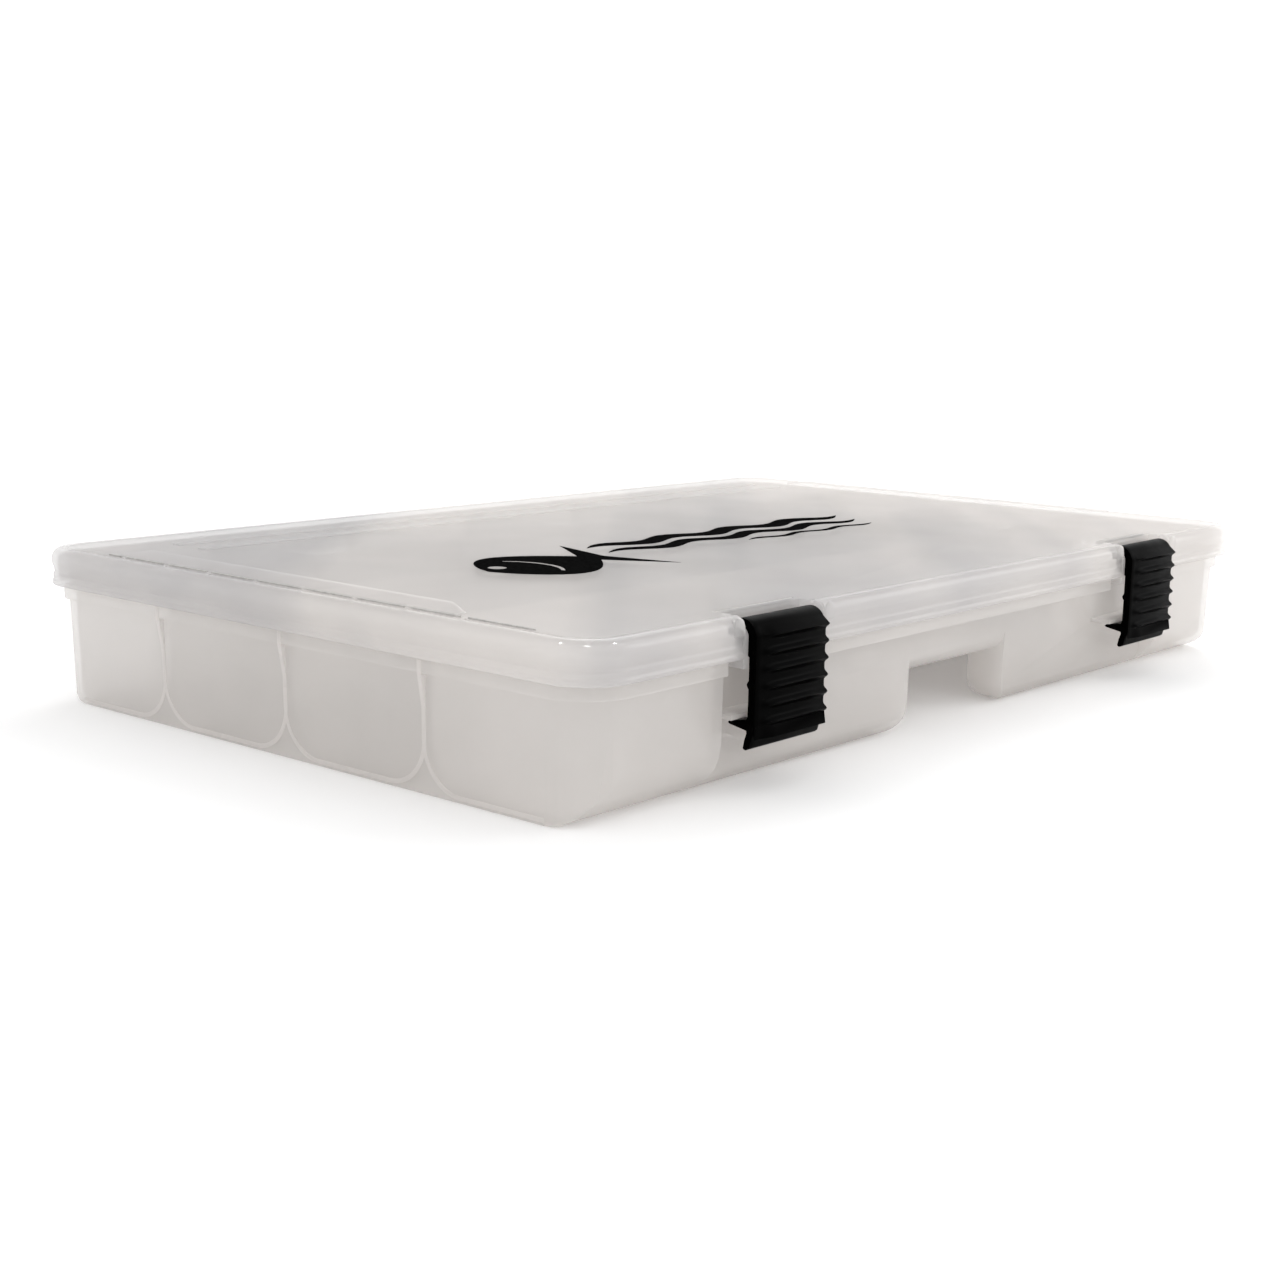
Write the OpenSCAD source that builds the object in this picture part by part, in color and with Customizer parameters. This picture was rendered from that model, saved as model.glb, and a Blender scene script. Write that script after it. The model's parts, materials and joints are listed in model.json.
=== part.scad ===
// Flat compartment case for fishing tackle: a four-lane tray with loose dividers,
// a hinged lid and two swing latches on the front.
// Frame: origin under the centre of the closed case, +X to the right along its
// length, -Y to the front (the latch side), +Z up. All lengths in millimetres.

/* [Case] */
// Length of the lid, left to right
lid_l = 357; // [350:1:362]
// Width of the lid, front to back
lid_w = 228; // [226:1:232]
// Height of the closed case
case_h = 47.5; // [46.5:0.5:50]
// Radius of the lid's corners, seen from above
corner_r = 14; // [12:1:18]
// Rounding of the lid's top edge
edge_r = 4; // [3:0.5:4.5]
// Thickness of the moulded walls
wall = 1.8; // [1.7:0.1:2]
// Height of the skirt that hangs from the lid
skirt_h = 11.8; // [11:0.2:12]

/* [Tray] */
// Step from the lid's outer face in to the tray's outer face
body_inset = 3.8; // [3.5:0.1:4.2]
// Radius of the lanes' bottom edges, outside
lane_r = 13.8; // [10:0.2:16]
// Number of divider places along a lane, plus one
columns = 6; // [6]
// Height of the band below the skirt
collar_h = 3.5; // [2.5:0.5:4]
// How far the band stands out of the tray's face
collar_out = 1.5; // [1:0.1:1.6]

/* [Front] */
// Distance of each latch's middle from the centre of the case
latch_x = 103.2; // [100:0.2:105]
// Width of the gap that the band leaves for each latch
recess_w = 41.5; // [41:0.5:43]
// How far the front wall stands back between the two front corners
recess_d = 6; // [5.8:0.1:6.4]
// Width of the finger notch in the middle of the front
notch_w = 55; // [46:1:70]
// Height of the raised floor over the finger notch
notch_h = 17.5; // [14:0.5:19]

/* [Dividers] */
// Thickness of a divider
divider_t = 1.6; // [1.4:0.1:2]
// Free space around a divider
divider_gap = 0.2; // [0.15:0.05:0.3]

/* [Latches] */
// Width of a latch
latch_w = 30; // [28:0.5:31]
// Radius of the curl round the latch's pivot
curl_r = 4.5; // [4.2:0.1:4.6]
// Radius of the moulded rod that a latch turns on
rod_r = 1.5; // [1.3:0.1:1.7]
// Radial play of a latch on its rod
rod_play = 0.08; // [0.04:0.01:0.1]
// Thickness of the latch's arm
arm_t = 2.4; // [2:0.1:2.6]
// Number of grip ribs on a latch
rib_count = 6; // [4:1:6]

/* [Hinge] */
// Radius of the steel pins
pin_r = 1.25; // [1:0.05:1.4]
// Radial play of the lid's knuckles on the pins
pin_play = 0.07; // [0.03:0.01:0.1]
// Distance of the outer hinges from the centre of the case
hinge_x = 110; // [90:1:125]

/* [Hidden] */
$fn = 48;
arc_steps = 6;
columns_back = [for (i = [1 : columns - 1]) i - columns / 2];
columns_front = [-1, 1];
lane_names = ["front", "mid_front", "mid_back", "back"];
column_names = ["far_left", "left", "centre", "right", "far_right"];

function divider_name(lane, column) =
    str("divider_", lane_names[lane], "_", column_names[column + 2]);

DIVIDERS = concat(
    [for (c = columns_front) [0, c]],
    [for (lane = [1 : 3], c = columns_back) [lane, c]]);

clear_plastic = [0.85, 0.84, 0.82, 0.55];
divider_plastic = [0.9, 0.9, 0.88, 0.6];
latch_plastic = [0.06, 0.06, 0.06];
steel = [0.7, 0.7, 0.72];

// Heights
rail_h = 0.6;
plate_top = case_h - rail_h;
plate_bottom = plate_top - wall;
skirt_z = case_h - skirt_h;
rim_z = plate_bottom - 0.5;
collar_top = skirt_z - 0.4;
collar_z = collar_top - collar_h;

// The tray
body_l = lid_l - 2 * body_inset;
body_w = lid_w - 2 * body_inset;
body_r = corner_r - 1;
face_y = body_w / 2;
end_x = body_l / 2;
recess_y = face_y - recess_d;
pitch = (body_w - wall) / 4;
lane_w = pitch + wall;
column_w = (body_l - wall) / columns;
recess_x0 = latch_x - recess_w / 2;
recess_x1 = latch_x + recess_w / 2;
notch_r = 9;
raised_r = 6;
deep_x = 80;
bump_r = 6;
bump_d = 12.6;
bump_back = -recess_y + bump_d;
front_back = lane_w / 2 - 1.5 * pitch;
edge_step = 0.5;
shelf_t = 1.6;
slot_rib_w = 1.2;
slot_rib_d = 1;
slot_rib_gap = divider_t + 0.5;

// The lid
back_rail_insets = [42, 29];
back_rail_w = 4;
back_rail_margin = 32.5;
gusset_count = 8;
gusset_pitch = 20.3;
gusset_t = 1.2;
gusset_d = 1.4;
gusset_z = 2.5;

// The latches
pivot_y = -(lid_w / 2 - 2.8);
pivot_z = case_h - 6.1;
arm_y = pivot_y - curl_r - 0.5;
arm_back = arm_y + arm_t;
rib_r = 1.3;
rib_top = pivot_z + 0.4;
rib_pitch = 4.55;
rib_margin = 3;
lip_top = 19;
lip_z = 12.3;
catch_z = 18.6;
ledge_z = 19.8;
ledge_h = 1.3;
ledge_reach = 7;
ledge_margin = 2.5;
back_rib_z = 29;
back_rib_r = 0.6;
opening_w = latch_w + 4;
opening_y = pivot_y + curl_r + 0.8;
opening_t = 1.2;
ear_r = 2.6;
ear_t = 1.6;
ear_low = 8;

// The hinges
hinge_y = lid_w / 2 + 0.9;
hinge_z = skirt_z - 3.1;
knuckle_r = 2.6;
knuckle_l = 16;
ear_l = 6;
hinge_gap = 0.4;
pin_grip = 0.02;
pin_l = knuckle_l + 2 * hinge_gap + 2 * ear_l - 1;
hinge_xs = [-hinge_x, 0, hinge_x];

// Points along an arc about c, from angle a0 to angle a1
function arc(c, r, a0, a1) =
    [for (i = [0 : arc_steps]) let (a = a0 + (a1 - a0) * i / arc_steps)
        c + r * [cos(a), sin(a)]];

// Outline of a rectangle with rounded corners, centred on the origin
function rounded_outline(l, w, r) =
    let (x = l / 2 - r, y = w / 2 - r)
    concat(arc([x, y], r, 0, 90), arc([-x, y], r, 90, 180),
           arc([-x, -y], r, 180, 270), arc([x, -y], r, 270, 360));

// Outline from u0 to u1 and from z0 up to z1, with two bottom radii
function trough_outline(u0, u1, z0, z1, r0, r1) =
    concat([[u0, z1]], arc([u0 + r0, z0 + r0], r0, 180, 270),
           arc([u1 - r1, z0 + r1], r1, 270, 360), [[u1, z1]]);

// Outline with rounded top corners, centred on u = 0
function dome_outline(l, z0, z1, r) =
    concat([[-l / 2, z0], [l / 2, z0]],
           arc([l / 2 - r, z1 - r], r, 0, 90), arc([-l / 2 + r, z1 - r], r, 90, 180));

function lane_y(lane) = (lane - 1.5) * pitch;

// A drawing in Y and Z, carried along X
module along_x(x0, x1) {
    translate([x0, 0, 0]) rotate([90, 0, 90]) linear_extrude(x1 - x0) children();
}

// A drawing in X and Z, carried along Y
module along_y(y0, y1) {
    translate([0, y1, 0]) rotate([90, 0, 0]) linear_extrude(y1 - y0) children();
}

module plate(outline, z0, z1) {
    translate([0, 0, z0]) linear_extrude(z1 - z0) polygon(outline);
}

module box(low, high) {
    translate(low) cube(high - low);
}

// The same thing on the left and on the right
module both_sides() {
    children();
    mirror([1, 0, 0]) children();
}

module rod(x0, x1, y, z, r) {
    translate([x0, y, z]) rotate([0, 90, 0]) cylinder(h = x1 - x0, r = r);
}

// One lane of constant section; in = 0 for its outside, wall for its hollow
module lane_run(lane, x0, x1, in) {
    along_x(x0, x1) polygon(trough_outline(
        lane_y(lane) - lane_w / 2 + in, lane_y(lane) + lane_w / 2 - in,
        in, rim_z + in, lane_r - in, lane_r - in));
}

// A stretch of the front lane between y0 and y1, rounded at its lower edges and
// where it drops away towards the middle
module front_run(x0, x1, y0, y1, z, r_front, r_back, r_x, in) {
    intersection() {
        along_x(x0 + in, x1 - in) polygon(trough_outline(
            y0 + in, y1 - in, z + in, rim_z + in, r_front - in, r_back - in));
        along_y(-lid_w, 0) polygon(trough_outline(
            x0 + in, x1 - in, z + in, rim_z + in, r_x - in, edge_step));
    }
}

// The front lane's own shape, on one side of the middle
module front_half(in) {
    // corner stretch, out to the end wall
    front_run(recess_x1, end_x, -face_y, front_back, 0, lane_r, lane_r, wall + 1, in);
    // full-depth lane, from the raised floor to the end wall
    front_run(deep_x, end_x, -recess_y, front_back, 0, bump_r, lane_r, notch_r, in);
    // the front wall's bump beside the notch
    front_run(notch_w / 2, deep_x + 2 * notch_r, -recess_y, bump_back,
              0, bump_r, bump_r, notch_r, in);
}

// The lane over the finger notch, where its floor is raised
module front_middle(in) {
    reach = deep_x + 2 * notch_r;
    front_run(-reach, reach, -recess_y, front_back, notch_h, raised_r, raised_r,
              wall + 1, in);
}

module tray_outside() {
    intersection() {
        plate(rounded_outline(body_l, body_w, body_r), 0, rim_z);
        union() {
            for (lane = [1 : 3]) lane_run(lane, -end_x, end_x, 0);
            both_sides() front_half(0);
            front_middle(0);
            // flat end walls, which close the grooves between the lanes
            both_sides() box([end_x - wall, -face_y + lane_r, 0],
                             [end_x, face_y - lane_r, 2 * lane_r]);
        }
    }
}

module tray_hollow() {
    intersection() {
        plate(rounded_outline(body_l - 2 * wall, body_w - 2 * wall, body_r - wall),
              wall, case_h);
        union() {
            for (lane = [1 : 3]) lane_run(lane, -end_x, end_x, wall);
            both_sides() front_half(wall);
            front_middle(wall);
        }
    }
}

// Band round the tray just below the skirt, open behind the latches
module collar() {
    difference() {
        plate(rounded_outline(body_l + 2 * collar_out, body_w + 2 * collar_out,
                              body_r + collar_out), collar_z, collar_top);
        plate(rounded_outline(body_l - 1, body_w - 1, body_r - 0.5), 0, case_h);
        both_sides() box([recess_x0, -lid_w, 0], [recess_x1, -recess_y + wall, case_h]);
    }
    // shelf that carries the band across the set-back front wall
    box([-recess_x0, -face_y - collar_out / 2, collar_top - shelf_t],
        [recess_x0, -recess_y + wall / 2, collar_top]);
    both_sides() box([recess_x0 - shelf_t, -face_y - collar_out / 2, collar_z],
                     [recess_x0, -recess_y + wall / 2, collar_top]);
}

// Two upright ribs on each side of a lane, which hold a divider between them
module divider_slot(lane, column) {
    front = lane == 0 ? -recess_y : lane_y(lane) - lane_w / 2;
    back = lane_y(lane) + lane_w / 2;
    low = lane == 0 ? notch_h + raised_r : lane_r;
    for (side = [-1, 1], y = [front + wall - 0.5, back - wall + 0.5 - slot_rib_d - 0.5])
        translate([column * column_w + side * (slot_rib_gap + slot_rib_w) / 2
                       - slot_rib_w / 2, y, low])
            cube([slot_rib_w, slot_rib_d + 0.5, rim_z - low - 3]);
}

// Ledge that the latch's catch snaps under
module catch_ledge() {
    box([recess_x0 + ledge_margin, -recess_y - ledge_reach, ledge_z],
        [recess_x1 - ledge_margin, -recess_y + wall / 2, ledge_z + ledge_h]);
}

module hinge_ears(x) {
    reach = knuckle_l / 2 + hinge_gap;
    for (x0 = [x - reach - ear_l, x + reach]) {
        rod(x0, x0 + ear_l, hinge_y, hinge_z, knuckle_r);
        box([x0, face_y - wall / 2, hinge_z - 2], [x0 + ear_l, hinge_y, hinge_z]);
    }
}

module base_tray() {
    color(clear_plastic) difference() {
        union() {
            difference() {
                tray_outside();
                tray_hollow();
            }
            collar();
            for (c = columns_front) divider_slot(0, c);
            for (lane = [1 : 3], c = columns_back) divider_slot(lane, c);
            both_sides() catch_ledge();
            for (x = hinge_xs) hinge_ears(x);
        }
        for (x = hinge_xs)
            rod(x - pin_l / 2, x + pin_l / 2, hinge_y, hinge_z, pin_r - pin_grip);
    }
}

// Closed outline of the lid with its rounded top edge
module lid_outside() {
    intersection() {
        plate(rounded_outline(lid_l, lid_w, corner_r), skirt_z, case_h);
        along_y(-lid_w, lid_w)
            polygon(dome_outline(lid_l, skirt_z - 1, plate_top, edge_r));
        along_x(-lid_l, lid_l)
            polygon(dome_outline(lid_w, skirt_z - 1, plate_top, edge_r));
    }
}

// Low raised bands on the lid's top: one along each end, one along the back
module lid_rails() {
    rail_x0 = lid_l / 2 - 18.5;
    rail_x1 = lid_l / 2 - 5.5;
    rail_back = lid_w / 2 - 35;
    rail_front = -lid_w * 0.22;
    both_sides() plate([[rail_x0, rail_back], [rail_x0, rail_front],
                        [rail_x1 - 4, rail_front - 14], [rail_x1, rail_front - 14],
                        [rail_x1, rail_back]], plate_top - 0.5, case_h);
    for (inset = back_rail_insets)
        box([back_rail_margin - lid_l / 2, lid_w / 2 - inset, plate_top - 0.5],
            [lid_l / 2 - back_rail_margin, lid_w / 2 - inset + back_rail_w, case_h]);
}

// Small gussets between the skirt and the lid's plate, at one end
module end_gussets() {
    for (i = [0 : gusset_count - 1])
        translate([lid_l / 2 - wall - gusset_d,
                   (i - (gusset_count - 1) / 2) * gusset_pitch - gusset_t / 2,
                   skirt_z + gusset_z])
            cube([gusset_d + 0.5, gusset_t, plate_bottom - skirt_z - gusset_z + 0.5]);
}

// Walls round a latch opening
module opening_walls() {
    x0 = latch_x - opening_w / 2;
    x1 = latch_x + opening_w / 2;
    box([x0 - wall, opening_y, skirt_z], [x1 + wall, opening_y + opening_t, plate_top - 1]);
    for (x = [x0 - wall, x1])
        box([x, -lid_w / 2 + 1, skirt_z], [x + wall, opening_y + 1, plate_top - 1]);
}

// Ears and rod that a latch hangs on
module latch_hanger() {
    x0 = latch_x - opening_w / 2;
    x1 = latch_x + opening_w / 2;
    rod(x0 - 0.5, x1 + 0.5, pivot_y, pivot_z, rod_r);
    for (x = [x0 - 0.5, x1 + 0.5 - ear_t - 0.5]) {
        rod(x, x + ear_t + 0.5, pivot_y, pivot_z, ear_r);
        box([x, pivot_y - 2.2, pivot_z - ear_low], [x + ear_t + 0.5, pivot_y + 2.2, pivot_z]);
    }
}

module hinge_knuckle(x) {
    rod(x - knuckle_l / 2, x + knuckle_l / 2, hinge_y, hinge_z, knuckle_r);
    box([x - knuckle_l / 2, lid_w / 2 - wall + 0.4, hinge_z],
        [x + knuckle_l / 2, lid_w / 2, skirt_z + 1]);
}

module lid() {
    color(clear_plastic) difference() {
        union() {
            difference() {
                lid_outside();
                plate(rounded_outline(lid_l - 2 * wall, lid_w - 2 * wall,
                                      corner_r - wall), 0, plate_bottom);
                both_sides() box([latch_x - opening_w / 2, -lid_w, 0],
                                 [latch_x + opening_w / 2, opening_y, case_h]);
            }
            lid_rails();
            both_sides() end_gussets();
            both_sides() opening_walls();
            both_sides() latch_hanger();
            for (x = hinge_xs) hinge_knuckle(x);
        }
        for (x = hinge_xs) rod(x - pin_l / 2, x + pin_l / 2, hinge_y, hinge_z, pin_r + pin_play);
    }
}

// A latch whose middle stands at x
module latch(x) {
    x0 = x - latch_w / 2;
    x1 = x + latch_w / 2;
    difference() {
        union() {
            rod(x0, x1, pivot_y, pivot_z, curl_r);
            along_x(x0, x1) polygon([
                [arm_y, pivot_z + 1], [arm_y, lip_top], [arm_y + 1.7, lip_z],
                [arm_y + 1.7 + arm_t, lip_z + 0.5], [arm_back, catch_z - 1.4],
                [pivot_y + 3.7, catch_z], [arm_back, catch_z + 1],
                [arm_back, pivot_z - 1], [pivot_y, pivot_z]]);
            for (i = [0 : rib_count - 1])
                rod(x0 + rib_margin, x1, arm_y, rib_top - i * rib_pitch, rib_r);
            rod(x0, x1, arm_back, back_rib_z, back_rib_r);
        }
        rod(x0 - 1, x1 + 1, pivot_y, pivot_z, rod_r + rod_play);
    }
}

module latch_left() {
    color(latch_plastic) latch(-latch_x);
}

module latch_right() {
    color(latch_plastic) latch(latch_x);
}

module hinge_pin(x) {
    color(steel) rod(x - pin_l / 2, x + pin_l / 2, hinge_y, hinge_z, pin_r);
}

module hinge_pin_left() { hinge_pin(hinge_xs[0]); }
module hinge_pin_centre() { hinge_pin(hinge_xs[1]); }
module hinge_pin_right() { hinge_pin(hinge_xs[2]); }

// Loose divider that stands across a lane
module divider(lane, column) {
    front = lane == 0 ? -recess_y : lane_y(lane) - lane_w / 2;
    back = lane_y(lane) + lane_w / 2;
    side = wall + divider_gap;
    floor_z = (lane == 0 ? notch_h : 0) + wall + 0.1;
    radius = (lane == 0 ? raised_r : lane_r) - wall;
    x = column * column_w;
    color(divider_plastic) along_x(x - divider_t / 2, x + divider_t / 2)
        polygon(trough_outline(front + side, back - side, floor_z, rim_z - 0.8,
                               radius, radius));
}

base_tray();
lid();
latch_left();
latch_right();
hinge_pin_left();
hinge_pin_centre();
hinge_pin_right();
for (d = DIVIDERS)
    divider(d[0], d[1]);
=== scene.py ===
"""Looks of the compartment case for fishing tackle, in metres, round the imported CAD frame.

The tray, lid, latches, dividers and pins are rebuilt here as finished mouldings with
rounded edges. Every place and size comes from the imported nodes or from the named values
below, which are in millimetres."""

import json
import math

import bmesh
import bpy
from mathutils import Matrix, Vector


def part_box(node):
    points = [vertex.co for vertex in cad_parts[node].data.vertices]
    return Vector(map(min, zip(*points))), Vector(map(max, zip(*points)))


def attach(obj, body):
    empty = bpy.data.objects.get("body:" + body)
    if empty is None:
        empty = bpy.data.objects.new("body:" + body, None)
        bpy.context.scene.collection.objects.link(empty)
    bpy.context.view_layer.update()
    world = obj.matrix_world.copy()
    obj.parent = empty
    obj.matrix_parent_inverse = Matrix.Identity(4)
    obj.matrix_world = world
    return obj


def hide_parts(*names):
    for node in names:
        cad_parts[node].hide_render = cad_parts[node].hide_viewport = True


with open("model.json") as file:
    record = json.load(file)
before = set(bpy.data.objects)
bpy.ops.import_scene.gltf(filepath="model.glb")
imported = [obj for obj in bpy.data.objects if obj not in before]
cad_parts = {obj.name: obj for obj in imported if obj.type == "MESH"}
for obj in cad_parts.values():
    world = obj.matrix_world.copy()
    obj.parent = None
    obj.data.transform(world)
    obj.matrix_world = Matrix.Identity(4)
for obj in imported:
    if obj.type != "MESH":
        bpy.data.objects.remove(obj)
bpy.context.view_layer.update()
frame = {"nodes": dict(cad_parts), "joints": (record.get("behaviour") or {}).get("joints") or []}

MM = 0.001
NODES = frame["nodes"]
JOINTS = {joint["name"]: joint for joint in frame["joints"]}


# ---------------------------------------------------------------- sizes, in millimetres

def node_box(name):
    """Lowest and highest corner of a CAD node, in millimetres."""
    low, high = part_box(name)
    return low / MM, high / MM


LID_HIGH = node_box("lid")[1]
TRAY_HALF_X = node_box("base_tray")[1].x
PIVOT = Vector(JOINTS["latch_right_pivot"]["pos_m"]) / MM
HINGE = Vector(JOINTS["lid_hinge"]["pos_m"]) / MM

HINGE_OUT = 0.9  # how far the hinge line stands behind the lid
CASE_TOP = LID_HIGH.z
LID_HALF_X = LID_HIGH.x
LID_HALF_Y = HINGE.y - HINGE_OUT
CORNER_R = 14.0
WALL = 1.8
RAIL_H = 0.6
PLATE_TOP = CASE_TOP - RAIL_H
PLATE_BOTTOM = PLATE_TOP - WALL
SKIRT_H = 11.8
SKIRT_Z = CASE_TOP - SKIRT_H
LATCH_X = PIVOT.x
LATCH_W = node_box("latch_right")[1].x - node_box("latch_right")[0].x
ROD_R = 1.5
ROD_PLAY = 0.08
CURL_R = 4.5
OPENING_W = LATCH_W + 4.0
OPENING_Y = PIVOT.y + CURL_R + 0.8
OPENING_WALL = 1.2
PIN_R = 1.25
PIN_PLAY = 0.07
KNUCKLE_R = 2.6
KNUCKLE_L = 16.0
BODY_INSET = 3.8  # step from the lid's outer face in to the tray's
END_X = LID_HALF_X - BODY_INSET
FACE_Y = LID_HALF_Y - BODY_INSET
LANE_R = 13.8
LANE_PITCH = (2 * FACE_Y - WALL) / 4
COLLAR_Z = SKIRT_Z - 3.9
DRAFT_TOP = 30.0  # height below which the tray's walls lean in
DRAFT = 0.9  # how far they have leaned in at the floor


# ---------------------------------------------------------------- mesh helpers

ROD_SIDES = 40
SHARP = 32.0  # degrees between faces above which an edge stays sharp


def arc(cx, cy, radius, start, end, steps):
    """Points along an arc, from start to end in degrees."""
    angles = [math.radians(start + (end - start) * i / steps) for i in range(steps + 1)]
    return [(cx + radius * math.cos(a), cy + radius * math.sin(a)) for a in angles]


def rounded_loop(half_x, half_y, radius, steps=12):
    """Outline of a rounded rectangle, counter-clockwise."""
    x, y = half_x - radius, half_y - radius
    return (arc(x, y, radius, 0, 90, steps) + arc(-x, y, radius, 90, 180, steps)
            + arc(-x, -y, radius, 180, 270, steps) + arc(x, -y, radius, 270, 360, steps))


def add_ring(bm, points):
    """New points of a mesh, from places in millimetres."""
    return [bm.verts.new(Vector(p) * MM) for p in points]


def bridge(bm, lower, upper):
    """Quads between two rings of equal length."""
    count = len(lower)
    for i in range(count):
        j = (i + 1) % count
        bm.faces.new((lower[i], lower[j], upper[j], upper[i]))


def new_piece(name, bm, material=None):
    """Object from a bmesh in metres, with outward normals."""
    bmesh.ops.recalc_face_normals(bm, faces=bm.faces)
    mesh = bpy.data.meshes.new(name)
    bm.to_mesh(mesh)
    bm.free()
    obj = bpy.data.objects.new(name, mesh)
    bpy.context.scene.collection.objects.link(obj)
    if material is not None:
        mesh.materials.append(material)
    return obj


def loft(name, rings):
    """Closed solid through rings of points, capped at both ends."""
    bm = bmesh.new()
    made = [add_ring(bm, ring) for ring in rings]
    for lower, upper in zip(made, made[1:]):
        bridge(bm, lower, upper)
    bm.faces.new(made[0])
    bm.faces.new(made[-1])
    return new_piece(name, bm)


def prism(name, outline, axis, start, end, rounding=0.0, segments=2):
    """Outline carried along an axis. It is in (y, z) for x, (x, z) for y and (x, y) for z."""
    place = {"x": lambda u, v, w: (w, u, v), "y": lambda u, v, w: (u, w, v),
             "z": lambda u, v, w: (u, v, w)}[axis]
    obj = loft(name, [[place(u, v, w) for u, v in outline] for w in (start, end)])
    if rounding:
        bevel(obj, rounding, segments)
        apply_modifiers(obj)
    return obj


def box_piece(name, low, high, rounding=0.0, segments=2):
    """Box between two corners, with its edges rounded."""
    outline = [(low[0], low[1]), (high[0], low[1]), (high[0], high[1]), (low[0], high[1])]
    return prism(name, outline, "z", low[2], high[2], rounding, segments)


def rod_piece(name, start, end, y, z, radius, chamfer):
    """Round bar along X with softened ends."""
    def ring(x, r):
        turns = [2 * math.pi * i / ROD_SIDES for i in range(ROD_SIDES)]
        return [(x, y + r * math.cos(a), z + r * math.sin(a)) for a in turns]

    return loft(name, [ring(start, radius - chamfer), ring(start + chamfer, radius),
                       ring(end - chamfer, radius), ring(end, radius - chamfer)])


def bevel(obj, width, segments=2, angle=30.0):
    """Rounds the edges where faces meet at more than the angle."""
    mod = obj.modifiers.new("edges", "BEVEL")
    mod.width = width * MM
    mod.segments = segments
    mod.limit_method = "ANGLE"
    mod.angle_limit = math.radians(angle)


def apply_modifiers(obj):
    """Bakes an object's modifiers into its mesh."""
    graph = bpy.context.evaluated_depsgraph_get()
    mesh = bpy.data.meshes.new_from_object(obj.evaluated_get(graph), depsgraph=graph)
    obj.modifiers.clear()
    old = obj.data
    obj.data = mesh
    bpy.data.meshes.remove(old)


def combine(obj, others, operation):
    """Joins, cuts or trims obj by other closed solids, which are used up."""
    for other in others:
        mod = obj.modifiers.new("solid", "BOOLEAN")
        mod.operation = operation
        mod.solver = "EXACT"
        mod.object = other
        apply_modifiers(obj)
        bpy.data.objects.remove(other, do_unlink=True)
    return obj


def join_solids(obj, others):
    return combine(obj, others, "UNION")


def cut_solids(obj, others):
    return combine(obj, others, "DIFFERENCE")


def mirrored(make):
    """The same solids on the left and on the right."""
    return make(1) + make(-1)


def soften(obj):
    """Smooth shading, with the sharp edges kept."""
    for polygon in obj.data.polygons:
        polygon.use_smooth = True
    obj.data.set_sharp_from_angle(angle=math.radians(SHARP))


def tidy_mesh(obj):
    """Merges doubled points and joins faces that lie in one plane."""
    bm = bmesh.new()
    bm.from_mesh(obj.data)
    bmesh.ops.remove_doubles(bm, verts=bm.verts, dist=0.002 * MM)
    bmesh.ops.dissolve_limit(bm, angle_limit=math.radians(0.6), verts=bm.verts,
                             edges=bm.edges)
    bm.to_mesh(obj.data)
    bm.free()


def finish_piece(obj, name, material, body, nodes=()):
    """Names a piece, gives it its material, ties it to its body and hides the CAD nodes it
    replaces.
    """
    obj.name = name
    obj.data.name = name
    obj.data.materials.clear()
    obj.data.materials.append(material)
    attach(obj, body)
    if nodes:
        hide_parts(*nodes)
    return obj


# ---------------------------------------------------------------- materials

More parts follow.
